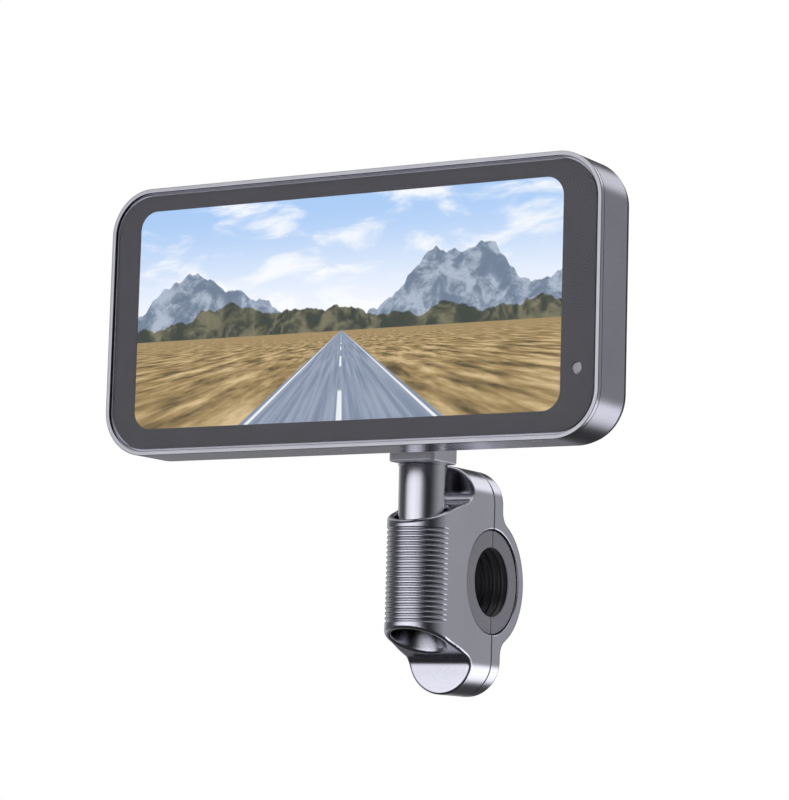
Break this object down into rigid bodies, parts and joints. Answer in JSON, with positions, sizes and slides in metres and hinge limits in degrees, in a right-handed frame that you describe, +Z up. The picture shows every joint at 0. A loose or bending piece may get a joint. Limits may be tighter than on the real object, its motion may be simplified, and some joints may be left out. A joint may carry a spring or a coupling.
{
  "type": "dash camera",
  "caption": "Wide rounded-rectangle handlebar dash camera: display with a lens in its back, tilting bracket, tapered swivel stem and split bar clamp.",
  "frame": {"origin": "centre of the handlebar hole in the clamp", "axes": "+X along the handlebar to the driver's right, +Y forward down the road (the screen faces -Y), +Z up"},
  "size_m": [0.1664, 0.0946, 0.1504],
  "materials": {
    "gunmetal": "satin anodised",
    "dark_metal": "fine matte powder coat",
    "bright_rim": "diamond cut, polished",
    "steel": "bare",
    "black_steel": "black oxide",
    "black_plastic": "fine texture",
    "cover_glass": "hardened, polished",
    "rubber": "matte",
    "board": "green solder resist",
    "screen": "lit display",
    "white_nylon": "smooth",
    "lens_glass": "coated",
    "sensor_window": "smooth"
  },
  "bodies": {
    "clamp": {"clamp_front_half": "gunmetal", "bar_grip_front": "rubber", "upper_bush": "black_plastic", "lower_bush": "black_plastic"},
    "rear_cap": {"clamp_rear_cap": "gunmetal", "bar_grip_rear": "rubber", "clamp_screw_upper": "black_steel", "clamp_screw_lower": "black_steel"},
    "stem": {"swivel_stem": "gunmetal", "stem_washer": "steel", "stem_screw": "black_steel"},
    "display": {"casing_frame": "gunmetal", "front_rim": "bright_rim", "cover_glass": "cover_glass", "bezel_mask": "black_plastic", "light_sensor": "sensor_window", "screen_panel": "screen", "backlight_tray": "steel", "main_board": "board", "processor_shield": "steel", "battery_pack": "black_plastic", "gps_antenna": "white_nylon", "image_sensor": "black_plastic", "heat_sink": "dark_metal", "speaker": "black_plastic", "microphone": "steel", "power_switch": "steel", "record_switch": "steel", "usb_socket": "steel", "card_socket": "steel", "memory_card": "black_plastic", "rear_cover": "dark_metal", "cover_screw_1": "black_steel", "cover_screw_2": "black_steel", "cover_screw_3": "black_steel", "cover_screw_4": "black_steel", "cover_screw_5": "black_steel", "cover_screw_6": "black_steel", "lens_housing": "dark_metal", "lens_ring": "bright_rim", "front_lens": "lens_glass", "lens_stop": "black_plastic", "rear_lens": "lens_glass", "tilt_bracket": "dark_metal", "bracket_screw_1": "black_steel", "bracket_screw_2": "black_steel", "bracket_screw_3": "black_steel", "bracket_screw_4": "black_steel", "nut_plate": "steel", "friction_washer_left": "white_nylon", "friction_washer_right": "white_nylon", "tilt_bolt": "black_steel", "tilt_nut": "steel"},
    "power_key": {"power_button": "dark_metal"},
    "record_key": {"record_button": "dark_metal"},
    "flap": {"port_flap": "rubber"}
  },
  "joints": [
    {"name": "cap_release", "type": "slide", "parent": "clamp", "child": "rear_cap", "axis": [0, 1, 0], "range_m": [0, 0.008]},
    {"name": "stem_swivel", "type": "hinge", "parent": "clamp", "child": "stem", "pos_m": [0, -0.0258, 0.02], "axis": [0, 0, 1], "range_deg": [-60, 60]},
    {"name": "display_tilt", "type": "hinge", "parent": "stem", "child": "display", "pos_m": [0, -0.0258, 0.056], "axis": [1, 0, 0], "range_deg": [-30, 20]},
    {"name": "power_press", "type": "slide", "parent": "display", "child": "power_key", "axis": [0, 0, -1], "range_m": [0, 0.0006], "stiffness_N_per_m": 2500},
    {"name": "record_press", "type": "slide", "parent": "display", "child": "record_key", "axis": [0, 0, -1], "range_m": [0, 0.0006], "stiffness_N_per_m": 2500},
    {"name": "flap_open", "type": "hinge", "parent": "display", "child": "flap", "pos_m": [-0.0832, -0.0607, 0.06905], "axis": [0, 0, -1], "range_deg": [0, 115]}
  ]
}
